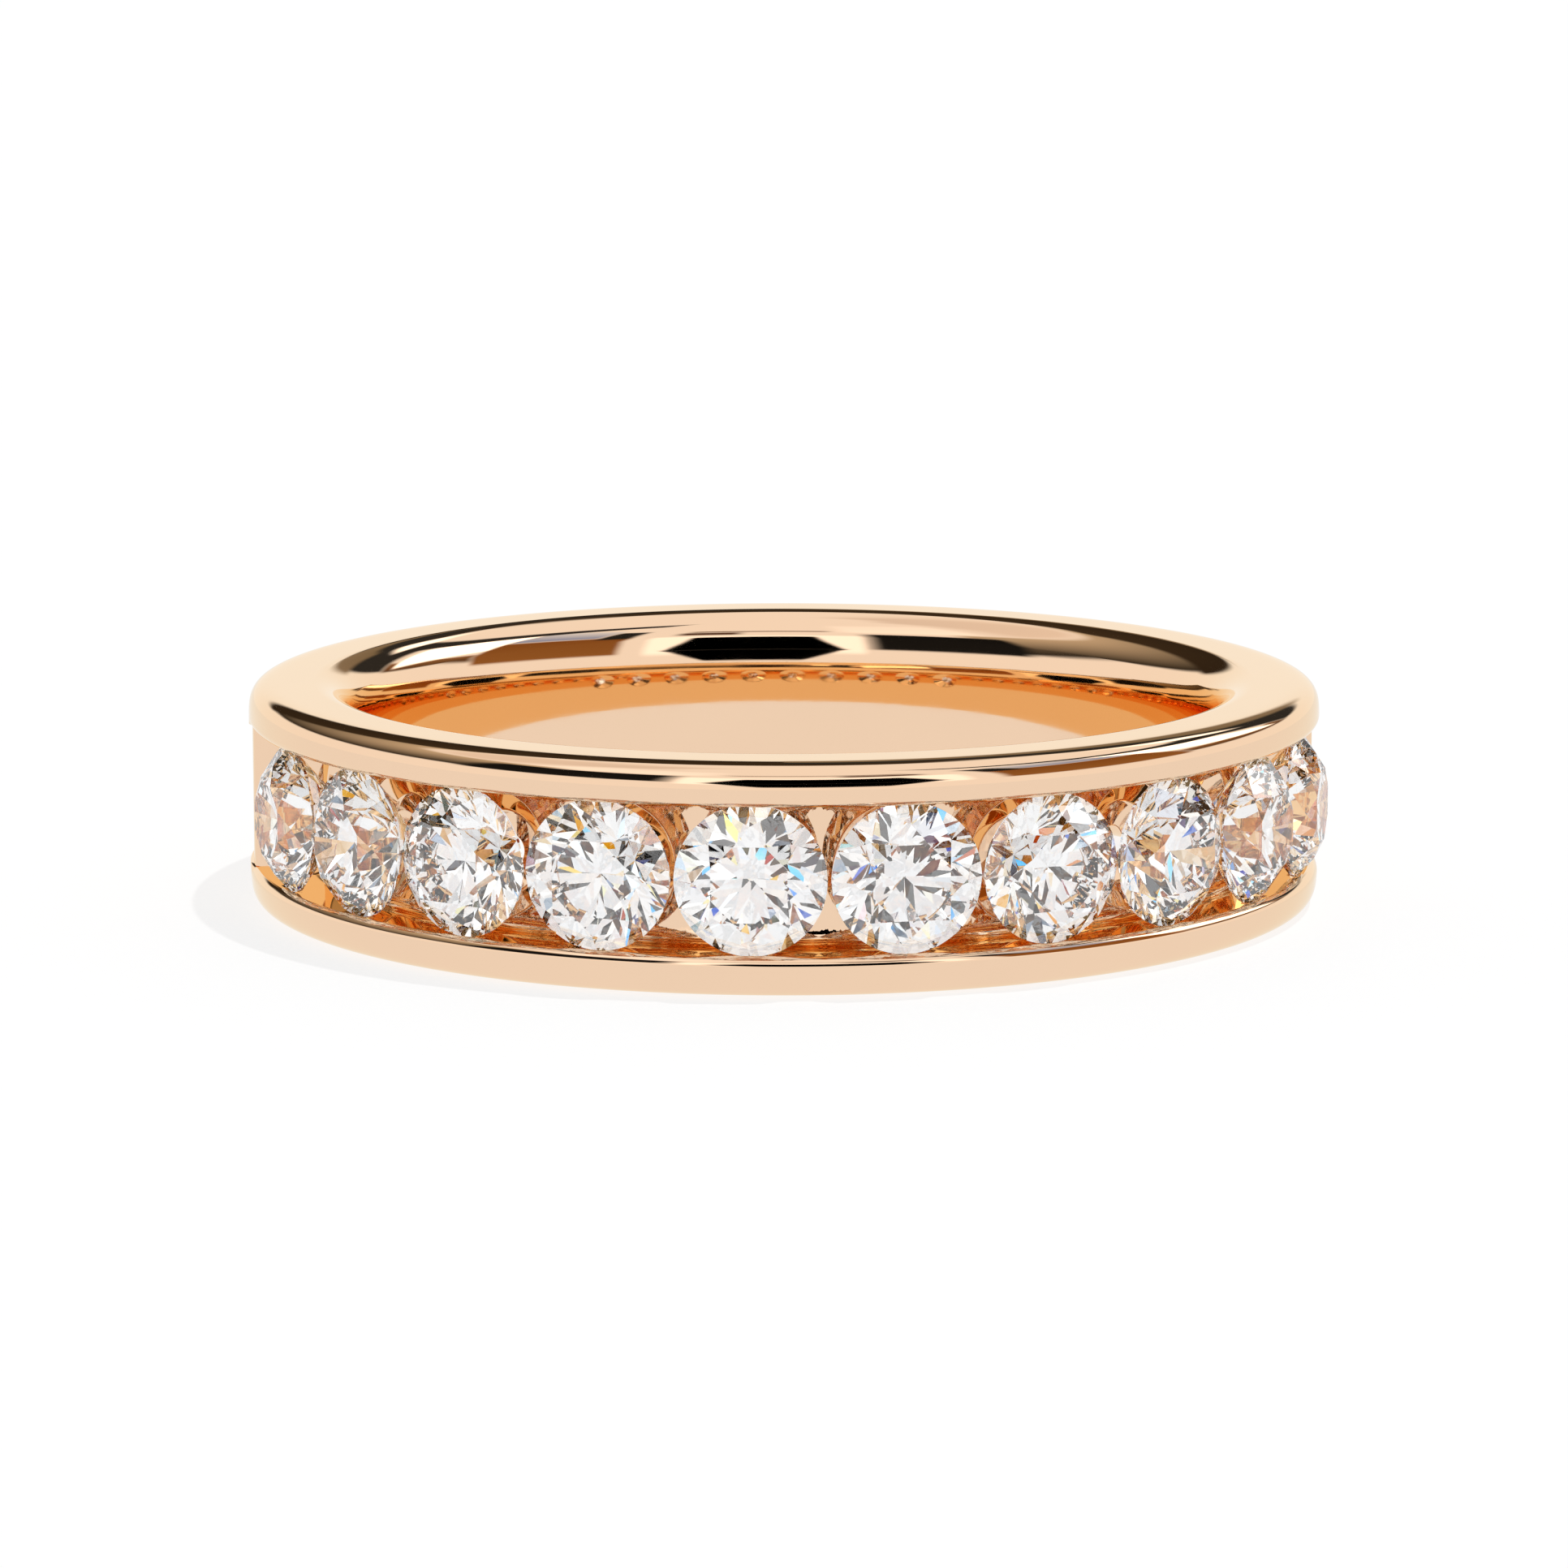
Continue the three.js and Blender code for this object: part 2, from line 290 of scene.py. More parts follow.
def shank(name, materials):
    """The solid back of the band, between the rails; each end is a ramp from the channel floor up to the outer face."""
    b = Builder()
    th = np.unique(
        np.concatenate(
            [
                np.linspace(CHANNEL_HALF, RAMP_HALF, 25),
                THETA[(THETA > RAMP_HALF + 0.3) & (THETA < 360 - RAMP_HALF - 0.3)],
                np.linspace(360 - RAMP_HALF, 360 - CHANNEL_HALF, 25),
            ]
        )
    )
    away = np.abs((th + 180) % 360 - 180)
    past = away - RAMP_HALF
    drop = np.interp(past, PAST[(THETA >= 80) & (THETA <= 180)], RECESS_AT[(THETA >= 80) & (THETA <= 180)])
    face = OUTER_R - drop
    # the ramp is straight, with a soft top edge
    foot, head = polar(CHANNEL_HALF, FLOOR_R, 0.0), polar(RAMP_HALF, OUTER_R - RECESS, 0.0)
    t = rad(np.minimum(away, RAMP_HALF))
    way = head - foot
    # where the ray at angle t meets the ramp's line
    k = (foot[0] * np.cos(t) + foot[1] * np.sin(t)) / -(way[0] * np.cos(t) + way[1] * np.sin(t))
    ramp = np.hypot(foot[0] + way[0] * k, foot[1] + way[1] * k)
    soft = 0.05
    outer = np.where(past < 0, ramp, face)
    blend = (face + ramp - np.sqrt((face - ramp) ** 2 + soft**2)) / 2
    near = np.abs(past) < 1.5
    outer = np.where(near, np.where(past < 0, blend, face - (face[np.argmin(np.abs(past))] * 0 + soft / 2 * np.exp(-np.maximum(past, 0) * 3))), outer)[:, None]
    low, high = RAIL_T, WIDTH - RAIL_T
    z = np.linspace(low, high, 13)
    p = polar(th[:, None], outer, z[None, :])
    n = grid_normals(p)
    n = np.where((n * (p * [1, 1, 0])).sum(-1, keepdims=True) < 0, -n, n)
    b.grid(p, n)
    p_in = polar(th[:, None], inner_wall(z)[None, :], z[None, :])
    slope = inner_slope(z)
    n_in = unit(polar(th[:, None], -np.ones_like(z)[None, :], slope[None, :]))
    b.grid(p_in, n_in)
    for k, up in ((0, -1.0), (-1, 1.0)):
        s = np.linspace(0, 1, 6)[None, :, None]
        q = p[:, k][:, None] * (1 - s) + p_in[:, k][:, None] * s
        b.grid(q, np.broadcast_to([0.0, 0, up], q.shape))
    for k, way in ((0, -1.0), (-1, 1.0)):
        s = np.linspace(0, 1, 6)[None, :, None]
        q = p[k][:, None] * (1 - s) + p_in[k][:, None] * s
        t = rad(th[k])
        b.grid(q, np.broadcast_to([way * math.cos(t), way * math.sin(t), 0.0], q.shape))
    return b.make(name, materials)


# ---- the channel floor, with its fillets up to the rails' walls
_f = np.vstack(
    [
        arc(FLOOR_R + FLOOR_FILLET, RAIL_T + FLOOR_FILLET, FLOOR_FILLET, 270, 180, 40),
        np.stack([np.full(60, FLOOR_R), np.linspace(RAIL_T + FLOOR_FILLET, WIDTH - RAIL_T - FLOOR_FILLET, 60)], -1)[1:-1],
        arc(FLOOR_R + FLOOR_FILLET, WIDTH - RAIL_T - FLOOR_FILLET, FLOOR_FILLET, 180, 90, 40),
    ]
)
_s = np.concatenate([[0], np.cumsum(np.linalg.norm(np.diff(_f, axis=0), axis=1))])
FLOOR_S = float(_s[-1])


def floor_at(s):
    """Radius, height and outward (r, z) normal of the channel floor at arc length s."""
    s = np.asarray(s, float)
    r, z = np.interp(s, _s, _f[:, 0]), np.interp(s, _s, _f[:, 1])
    quarter = FLOOR_FILLET * math.pi / 2
    a = np.clip(s / quarter, 0, 1) * math.pi / 2
    c = np.clip((FLOOR_S - s) / quarter, 0, 1) * math.pi / 2
    nz = np.where(s < quarter, np.cos(a), np.where(s > FLOOR_S - quarter, -np.cos(c), 0))
    nr = np.where(s < quarter, np.sin(a), np.where(s > FLOOR_S - quarter, np.sin(c), 1))
    return r, z, nr, nz


def seat_profile():
    """The seat's two cones, the neck and the flare, as (radius, height) along the stone's axis, corners rounded.

    Above the floor it goes straight up, through the floor's fillets.
    """
    flare = (AZURE_R - NECK_R) / (NECK_H - INNER_R)
    corners = [
        np.array([SEAT_R + 0.01, FLOOR_R + 0.9]),
        np.array([SEAT_R, FLOOR_R]),
        np.array([SHOULDER_R, SHOULDER_H]),
        np.array([NECK_R, NECK_H]),
        np.array([NECK_R + flare * 0.8, NECK_H - 0.8]),
    ]
    line = [corners[0]]
    for before, corner, after in zip(corners, corners[1:], corners[2:]):
        a = corner + unit(before - corner) * 0.05
        c = corner + unit(after - corner) * 0.05
        t = np.linspace(0, 1, 9)[:, None]
        line.extend((1 - t) ** 2 * a + 2 * t * (1 - t) * corner + t * t * c)
    line.append(corners[-1])
    return np.array(line)


SEAT = seat_profile()  # from the top down
SEAT_WAY = unit(np.vstack([SEAT[1] - SEAT[0], SEAT[2:] - SEAT[:-2], SEAT[-1] - SEAT[-2]]))


def cone(h):
    return np.interp(-np.asarray(h), -SEAT[:, 1], SEAT[:, 0])


def rim_heights(azimuth, surface, low, high):
    """Height along the stone's axis at which the seat cone meets a surface of radius surface(z), for each azimuth."""
    lo, hi = np.full(azimuth.shape, low), np.full(azimuth.shape, high)
    for _ in range(60):
        m = (lo + hi) / 2
        rho = cone(m)
        r = np.hypot(m, rho * np.cos(azimuth))
        above = r > surface(MID + rho * np.sin(azimuth))
        hi, lo = np.where(above, m, hi), np.where(above, lo, m)
    return (lo + hi) / 2


def gallery(name, materials):
    b = Builder()
    across, up = 25, 21
    edge = np.linspace(-1, 1, across)[:-1]
    side = np.linspace(-1, 1, up)[:-1]
    # once round a cell's edge, anticlockwise from its lower left corner
    px = np.concatenate([edge, np.ones(up - 1), -edge, -np.ones(up - 1)])
    py = np.concatenate([-np.ones(across - 1), side, np.ones(across - 1), -side])
    px, py = np.append(px, px[0]), np.append(py, py[0])
    half = PITCH / 2
    azimuth = np.arctan2(py * FLOOR_S / 2, px * rad(half) * FLOOR_R)

    def floor_r(z):
        return np.interp(z, _f[:, 1], _f[:, 0])

    h_out = rim_heights(azimuth, floor_r, FLOOR_R - 0.5, FLOOR_R + 0.6)
    h_in = rim_heights(azimuth, inner_wall, INNER_R - 0.6, NECK_H - 0.1)
    EDGE = 0.035

    def on_cone(h):
        rho = cone(h)
        t, z = rho * np.cos(azimuth), MID + rho * np.sin(azimuth)
        return np.stack([t, -h, z], -1)

    def turn(v, deg):
        c, s = math.cos(rad(deg)), math.sin(rad(deg))
        return np.stack([v[..., 0] * c - v[..., 1] * s, v[..., 0] * s + v[..., 1] * c, v[..., 2]], -1)

    # the floor patch in (theta, s) round the seat's rim
    rim = on_cone(h_out)
    rim_t = np.degrees(np.arctan2(rim[:, 0], -rim[:, 1]))
    rim_s = np.interp(rim[:, 2], _f[:, 1], _s)
    k = np.linspace(0, 1, 10)[:, None]
    start = 0.03
    ft = rim_t + (half * px - rim_t) * (start + (1 - start) * k)
    fs = rim_s + (FLOOR_S / 2 * (1 + py) - rim_s) * (start + (1 - start) * k)
    fr, fz, fnr, fnz = floor_at(fs)
    floor_p = polar(ft, fr, fz)
    floor_n = unit(polar(ft, fnr, fnz))
    # the inner patch
    inner = on_cone(h_in)
    in_t = np.degrees(np.arctan2(inner[:, 0], -inner[:, 1]))
    in_z = inner[:, 2]
    it = in_t + (half * px - in_t) * (start + (1 - start) * k)
    iz = in_z + (MID + HALF * py - in_z) * (start + (1 - start) * k)
    islope = inner_slope(iz)
    inner_p = polar(it, inner_wall(iz), iz)
    inner_n = unit(polar(it, -np.ones_like(iz), islope))
    # the seat and hole, stopping short of both rims, and a soft edge from it to each face
    top, foot = h_out - EDGE, h_in + EDGE
    inside = (SEAT[1:-1, 1] < top.min() - 0.01) & (SEAT[1:-1, 1] > foot.max() + 0.01)
    middle = SEAT[1:-1, 1][inside]
    lead = np.linspace(0, 1, 5)[:-1, None]
    hc = np.vstack(
        [
            foot[None, :] + (middle[-1] - foot[None, :]) * lead,
            np.broadcast_to(middle[::-1, None], (len(middle), len(azimuth))),
            (middle[0] + (top[None, :] - middle[0]) * np.linspace(0, 1, 11)[1:, None]),
        ]
    )
    cone_p = np.stack([on_cone(row) for row in hc])
    slant_r, slant_h = (np.interp(-hc, -SEAT[:, 1], SEAT_WAY[:, k]) for k in (0, 1))
    cone_n = unit(np.stack([slant_h * np.cos(azimuth), slant_r, slant_h * np.sin(azimuth)], -1))

    def soft(a, na, c, nc):
        """Five rows from a to c whose normals turn evenly from na to nc, bulging like a rounded edge."""
        mid_n = unit(na + nc)
        gap = np.linalg.norm(c - a, axis=-1, keepdims=True)
        rows, norms = [], []
        for f in np.linspace(0, 1, 5):
            bulge = 4 * f * (1 - f) * 0.14
            rows.append(a + (c - a) * f + mid_n * gap * bulge)
            norms.append(unit(na * (1 - f) + nc * f))
        return np.stack(rows), np.stack(norms)

    out_edge, out_norm = soft(cone_p[-1], cone_n[-1], floor_p[0], floor_n[0])
    in_edge, in_norm = soft(cone_p[0], cone_n[0], inner_p[0], inner_n[0])
    for place in PLACES:
        for p, n in ((floor_p, floor_n), (inner_p, inner_n), (cone_p, cone_n), (out_edge, out_norm), (in_edge, in_norm)):
            b.grid(turn(p, place), turn(np.asarray(n), place))
    # beside the last seats, up to the channel's ends
    v = np.append(side, 1.0)
    last = PLACES[-1] + half
    for way in (-1, 1):
        th = way * np.linspace(last, CHANNEL_HALF, 5)[:, None]
        s = FLOOR_S / 2 * (1 + v)[None, :]
        r, z, nr, nz = floor_at(s)
        fp = polar(th, r, z)
        b.grid(fp, unit(polar(th, nr, nz)))
        zi = (MID + HALF * v)[None, :]
        sl = inner_slope(zi)
        ip = polar(th, inner_wall(zi), zi)
        b.grid(ip, unit(polar(th, -np.ones_like(zi), sl)))
        k2 = np.linspace(0, 1, 5)[None, :, None]
        q = fp[-1][:, None] * (1 - k2) + ip[-1][:, None] * k2
        t = rad(way * CHANNEL_HALF)
        b.grid(q, np.broadcast_to([way * math.cos(t), way * math.sin(t), 0.0], q.shape))
    # the joint faces against the rails
    th = np.unique(
        np.round(
            np.concatenate(
                [c + half * np.append(edge, 1.0) for c in PLACES]
                + [np.linspace(last, CHANNEL_HALF, 5), -np.linspace(last, CHANNEL_HALF, 5)]
            ),
            9,
        )
    )
    for z, up_way in ((RAIL_T, -1.0), (WIDTH - RAIL_T, 1.0)):
        radii = np.linspace(float(inner_wall(z)), FLOOR_R + FLOOR_FILLET, 5)
        q = polar(th[:, None], radii[None, :], z)
        b.grid(q, np.broadcast_to([0.0, 0, up_way], q.shape))
    return b.make(name, materials)


# ---- stones
def brilliant_mesh():
    """A round brilliant cut facet by facet from a round blank: table, 8 star, 8 bezel, 16 upper-half, 16 lower-half and 8 pavilion facets."""
    bm = bmesh.new()
    n = 96
    crown_h = STONE_R * (1 - TABLE_SHARE) * math.tan(rad(CROWN_ANGLE))
    table_z = GIRDLE_T + crown_h
    rings = []
    for z in (-PAVILION_DEPTH - 0.2, table_z + 0.2):
        rings.append(
            [bm.verts.new((STONE_R * math.cos(2 * math.pi * (i + 0.5) / n), STONE_R * math.sin(2 * math.pi * (i + 0.5) / n), z)) for i in range(n)]
        )
    bm.faces.new(rings[0][::-1])
    bm.faces.new(rings[1])
    for i in range(n):
        j = (i + 1) % n
        bm.faces.new((rings[0][i], rings[0][j], rings[1][j], rings[1][i]))

    def cut(point, normal):
        got = bmesh.ops.bisect_plane(
            bm,
            geom=bm.verts[:] + bm.edges[:] + bm.faces[:],
            plane_co=point,
            plane_no=normal,
            clear_outer=True,
            dist=1e-6,
        )
        rim = [e for e in got["geom_cut"] if isinstance(e, bmesh.types.BMEdge)]
        if rim:
            bmesh.ops.contextual_create(bm, geom=rim)

    def plane(a, b, c):
        m = np.cross(np.subtract(b, a), np.subtract(c, a))
        m = m / np.linalg.norm(m)
        return m if np.dot(m, a) > 0 else -m

    def at(r, deg, z):
        return np.array([r * math.cos(rad(deg)), r * math.sin(rad(deg)), z])

    half = math.cos(rad(22.5))
    table_r = STONE_R * TABLE_SHARE
    star_r = table_r * half + STAR_SHARE * (STONE_R - table_r * half)
    star_z = table_z - (star_r * half - table_r) * math.tan(rad(CROWN_ANGLE))
    lower_r = (1 - LOWER_SHARE) * STONE_R
    lower_z = -PAVILION_DEPTH * (1 - lower_r * half / STONE_R)
    cut((0, 0, table_z), (0, 0, 1))
    for k in range(8):
        main = 22.5 + 45 * k
        star, low = at(star_r, main + 22.5, star_z), at(lower_r, main + 22.5, lower_z)
        tilt = rad(CROWN_ANGLE)
        cut(at(table_r, main, table_z), (math.sin(tilt) * math.cos(rad(main)), math.sin(tilt) * math.sin(rad(main)), math.cos(tilt)))
        cut(star, plane(star, at(table_r, main, table_z), at(table_r, main + 45, table_z)))
        # upper halves: from the star's tip to the girdle, which they meet a little above the bezels
        for way in (-1, 1):
            g0 = at(STONE_R, main + 22.5, GIRDLE_T * 0.98)
            g1 = at(STONE_R, main + 22.5 + way * 22.5, GIRDLE_T)
            cut(star, plane(star, g0, g1))
        slope = math.atan2(PAVILION_DEPTH, STONE_R)
        cut((0, 0, -PAVILION_DEPTH), (math.sin(slope) * math.cos(rad(main)), math.sin(slope) * math.sin(rad(main)), -math.cos(slope)))
        for way in (-1, 1):
            g0 = at(STONE_R, main + 22.5, GIRDLE_T * 0.02)
            g1 = at(STONE_R, main + 22.5 + way * 22.5, 0.0)
            m = np.cross(g0 - low, g1 - low)
            m = m / np.linalg.norm(m)
            cut(low, m if m[2] < 0 else -m)
    # a tiny culet facet
    cut((0, 0, -PAVILION_DEPTH + 0.012), (0, 0, -1))
    bmesh.ops.remove_doubles(bm, verts=bm.verts[:], dist=2e-5)
    bmesh.ops.dissolve_degenerate(bm, edges=bm.edges[:], dist=1e-5)
    bmesh.ops.recalc_face_normals(bm, faces=bm.faces[:])
    for f in bm.faces:
        girdle = abs(f.normal.z) < 0.2
        f.smooth = False
        f.material_index = 1 if girdle else 0
    bmesh.ops.scale(bm, vec=(MM, MM, MM), verts=bm.verts[:])
    mesh = bpy.data.meshes.new("brilliant")
    bm.to_mesh(mesh)
    bm.free()
    return mesh


# ---------------------------------------------------------------- materials
def nodes_of(mat):
    mat.use_nodes = True
    nt = mat.node_tree
    nt.nodes.clear()
    out = nt.nodes.new("ShaderNodeOutputMaterial")
    return nt, out


def rose_gold(name, rough_low, rough_high, scratch, colour=(0.92, 0.66, 0.46), painted_reflection_colour=(0.93, 0.585, 0.27)):
    """Polished rose gold: a faint cloud of tone, uneven polish and hairline wear, with a deeper colour painted in where
    it is seen in a reflection.
    """
    mat = bpy.data.materials.new(name)
    nt, out = nodes_of(mat)
    link = nt.links.new
    p = nt.nodes.new("ShaderNodeBsdfPrincipled")
    p.inputs["Metallic"].default_value = 1.0
    p.inputs["Specular Tint"].default_value = (1.0, 0.97, 0.86, 1.0)
    where = nt.nodes.new("ShaderNodeTexCoord")
    cloud = nt.nodes.new("ShaderNodeTexNoise")
    cloud.inputs["Scale"].default_value = 420.0
    cloud.inputs["Detail"].default_value = 4.0
    link(where.outputs["Object"], cloud.inputs["Vector"])
    tone = nt.nodes.new("ShaderNodeValToRGB")
    c = np.array(colour)
    tone.color_ramp.elements[0].position, tone.color_ramp.elements[1].position = 0.3, 0.7
    tone.color_ramp.elements[0].color = (*(c * 0.992), 1)
    tone.color_ramp.elements[1].color = (*np.minimum(c * 1.006, 1), 1)
    link(cloud.outputs["Fac"], tone.inputs["Fac"])
    # painted reflection: where the metal is seen in a reflection, a deeper, richer base colour is painted in to stand
    # in for light bounced between polished surfaces
    painted_reflection_mix = nt.nodes.new("ShaderNodeMix")
    painted_reflection_mix.data_type = "RGBA"
    link(nt.nodes.new("ShaderNodeLightPath").outputs["Is Glossy Ray"], painted_reflection_mix.inputs[0])
    link(tone.outputs["Color"], painted_reflection_mix.inputs[6])
    painted_reflection_mix.inputs[7].default_value = (*painted_reflection_colour, 1)
    link(painted_reflection_mix.outputs[2], p.inputs["Base Color"])
    polish = nt.nodes.new("ShaderNodeTexNoise")
    polish.inputs["Scale"].default_value = 1500.0
    polish.inputs["Detail"].default_value = 3.0
    link(where.outputs["Object"], polish.inputs["Vector"])
    span = nt.nodes.new("ShaderNodeMapRange")
    span.inputs["To Min"].default_value, span.inputs["To Max"].default_value = rough_low, rough_high
    span.inputs["From Min"].default_value, span.inputs["From Max"].default_value = 0.35, 0.65
    link(polish.outputs["Fac"], span.inputs["Value"])
    link(span.outputs["Result"], p.inputs["Roughness"])
    stretch = nt.nodes.new("ShaderNodeMapping")
    stretch.inputs["Scale"].default_value = (900.0, 900.0, 14000.0)
    link(where.outputs["Object"], stretch.inputs["Vector"])
    hair = nt.nodes.new("ShaderNodeTexNoise")
    hair.inputs["Scale"].default_value = 1.0
    hair.inputs["Detail"].default_value = 2.0
    link(stretch.outputs["Vector"], hair.inputs["Vector"])
    bump = nt.nodes.new("ShaderNodeBump")
    bump.inputs["Strength"].default_value = scratch
    bump.inputs["Distance"].default_value = 1e-6
    link(hair.outputs["Fac"], bump.inputs["Height"])
    link(bump.outputs["Normal"], p.inputs["Normal"])
    link(p.outputs["BSDF"], out.inputs["Surface"])
    return mat


def diamond(name, rough_low, rough_high, tint=(1.0, 1.0, 1.0)):
    """Colourless diamond with a faint cloud of tone; a bruted girdle is the same stone, unpolished."""
    mat = bpy.data.materials.new(name)
    nt, out = nodes_of(mat)
    link = nt.links.new
    p = nt.nodes.new("ShaderNodeBsdfPrincipled")
    p.inputs["Transmission Weight"].default_value = 1.0
    p.inputs["IOR"].default_value = 2.417
    where = nt.nodes.new("ShaderNodeTexCoord")
    cloud = nt.nodes.new("ShaderNodeTexNoise")
    cloud.inputs["Scale"].default_value = 900.0
    cloud.inputs["Detail"].default_value = 3.0
    link(where.outputs["Object"], cloud.inputs["Vector"])
    tone = nt.nodes.new("ShaderNodeValToRGB")
    tone.color_ramp.elements[0].position, tone.color_ramp.elements[1].position = 0.3, 0.7
    tone.color_ramp.elements[0].color = (*(np.array(tint) * 0.985), 1)
    tone.color_ramp.elements[1].color = (*tint, 1)
    link(cloud.outputs["Fac"], tone.inputs["Fac"])
    link(tone.outputs["Color"], p.inputs["Base Color"])
    if rough_high > 0:
        span = nt.nodes.new("ShaderNodeMapRange")
        span.inputs["To Min"].default_value, span.inputs["To Max"].default_value = rough_low, rough_high
        link(cloud.outputs["Fac"], span.inputs["Value"])
        link(span.outputs["Result"], p.inputs["Roughness"])
    else:
        p.inputs["Roughness"].default_value = 0.0
    link(p.outputs["BSDF"], out.inputs["Surface"])
    return mat


GOLD = rose_gold("rose_gold_polished", 0.03, 0.05, 0.06)
GOLD_SEAT = rose_gold("rose_gold_seat", 0.06, 0.11, 0.15)
FACET = diamond("diamond_facet", 0.0, 0.0)
GIRDLE = diamond("diamond_girdle", 0.03, 0.1)

# ---------------------------------------------------------------- the ring's pieces
lower = rail("lower_rail_polished", True, [GOLD])
upper = rail("upper_rail_polished", False, [GOLD])
back = shank("shank_polished", [GOLD])
base = gallery("gallery_polished", [GOLD])
for piece, node in ((lower, "lower_rail"), (upper, "upper_rail"), (back, "shank"), (base, "gallery")):
    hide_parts(node)
    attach(piece, "root")

cut_mesh = brilliant_mesh()
cut_mesh.materials.append(FACET)
cut_mesh.materials.append(GIRDLE)
for i, place in enumerate(PLACES):
    mesh = cut_mesh.copy()
    a = rad(place)
    # stone axes: x along the band, y along the finger, z out of the band
    m = np.array(
        [
            [math.cos(a), 0, math.sin(a)],
            [math.sin(a), 0, -math.cos(a)],
            [0, 1, 0],
        ]
    )
    at = np.array([math.sin(a), -math.cos(a), 0]) * GIRDLE_R + [0, 0, MID]
    co = np.empty(len(mesh.vertices) * 3)
    mesh.vertices.foreach_get("co", co)
    co = co.reshape(-1, 3) @ m.T + at * MM
    mesh.vertices.foreach_set("co", co.reshape(-1))
    mesh.update()
    stone = bpy.data.objects.new(f"brilliant_{i + 1:02d}", mesh)
    scene.collection.objects.link(stone)
    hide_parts(f"diamond_{i + 1:02d}")
    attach(stone, "root")

# ---------------------------------------------------------------- floor
floor_mesh = bpy.data.meshes.new("floor")
R = 4.0
ring_pts = [(0.0, 0.0, 0.0)] + [(R * math.cos(t), R * math.sin(t), 0.0) for t in np.linspace(0, 2 * math.pi, 97)[:-1]]
floor_mesh.from_pydata(ring_pts, [], [(0, 1 + k, 1 + (k + 1) % 96) for k in range(96)])
floor = bpy.data.objects.new("floor", floor_mesh)
scene.collection.objects.link(floor)
paper = bpy.data.materials.new("white_sweep")
nt, out = nodes_of(paper)
d = nt.nodes.new("ShaderNodeBsdfDiffuse")
d.inputs["Color"].default_value = (0.3, 0.3, 0.3, 1)
glow = nt.nodes.new("ShaderNodeEmission")
glow.inputs["Strength"].default_value = 0.785
both = nt.nodes.new("ShaderNodeAddShader")
nt.links.new(d.outputs[0], both.inputs[0])
nt.links.new(glow.outputs[0], both.inputs[1])
# in the metal and the stones the paper shows even
plain = nt.nodes.new("ShaderNodeEmission")
plain.inputs["Color"].default_value = (0.93, 0.935, 0.943, 1)
pick = nt.nodes.new("ShaderNodeMixShader")
nt.links.new(nt.nodes.new("ShaderNodeLightPath").outputs["Is Camera Ray"], pick.inputs[0])
nt.links.new(plain.outputs[0], pick.inputs[1])
nt.links.new(both.outputs[0], pick.inputs[2])
nt.links.new(pick.outputs[0], out.inputs["Surface"])
floor_mesh.materials.append(paper)
floor.location.z = -0.00001

# ---------------------------------------------------------------- light
# a soft lamp behind the ring on the right, only for the floor's faint shadow
lamp = bpy.data.lights.new("back_lamp", "SUN")
lamp.energy, lamp.angle = LAMP_POWER, rad(1.5)
lamp_ob = bpy.data.objects.new("back_lamp", lamp)
scene.collection.objects.link(lamp_ob)
la, le = rad(95 + CAMERA_AZ), rad(73.5)
lamp_ob.rotation_euler = (math.pi / 2 - le, 0, la)
lamp_ob.visible_glossy = False
lamp_ob.visible_transmission = False

world = bpy.data.worlds.new("studio")
scene.world = world
world.use_nodes = True
nt = world.node_tree
nt.nodes.clear()
wo = nt.nodes.new("ShaderNodeOutputWorld")
bg = nt.nodes.new("ShaderNodeBackground")
nt.links.new(bg.outputs[0], wo.inputs["Surface"])
tc = nt.nodes.new("ShaderNodeTexCoord")


def plug(node, k, v):
    if isinstance(v, (int, float)):
        node.inputs[k].default_value = float(v)
    elif isinstance(v, tuple):
        node.inputs[k].default_value = v if len(node.inputs[k].default_value) == 3 else (*v, 1.0)
    else:
        nt.links.new(v, node.inputs[k])


def math_node(op, a, b=None, c=None):
    n = nt.nodes.new("ShaderNodeMath")
    n.operation = op
    for k, v in enumerate((a, b, c)):
        if v is not None:
            plug(n, k, v)
    return n.outputs[0]


def vector_node(op, a, b=None, c=None):
    n = nt.nodes.new("ShaderNodeVectorMath")
    n.operation = op
    for k, v in enumerate((a, b, c)):
        if v is not None:
            plug(n, k, v)
    return n.outputs[0]


def ease(value, low, high, to_low=0.0, to_high=1.0, kind="SMOOTHSTEP"):
    """Map Range for red, green and blue at once."""
    n = nt.nodes.new("ShaderNodeMapRange")
    n.data_type = "FLOAT_VECTOR"
    n.interpolation_type = kind
    ends = [s for s in n.inputs if s.enabled and s.type == "VECTOR"]
    for s, v in zip(ends, (value, low, high, to_low, to_high), strict=True):
        if isinstance(v, (int, float)):
            s.default_value = (v, v, v)
        else:
            nt.links.new(v, s)
    return n.outputs["Vector"]


def blend_colour(fac, a, b):
    n = nt.nodes.new("ShaderNodeMix")
    n.data_type = "RGBA"
    plug(n, 0, fac)
    plug(n, 6, a)
    plug(n, 7, b)
    return n.outputs[2]


rot = nt.nodes.new("ShaderNodeVectorRotate")
rot.rotation_type = "Z_AXIS"
rot.inputs["Angle"].default_value = rad(-CAMERA_AZ)
nt.links.new(tc.outputs["Generated"], rot.inputs["Vector"])
sep = nt.nodes.new("ShaderNodeSeparateXYZ")
nt.links.new(rot.outputs[0], sep.inputs[0])
X, Y, Z = sep.outputs
path = nt.nodes.new("ShaderNodeLightPath")
THROUGH = path.outputs["Is Transmission Ray"]
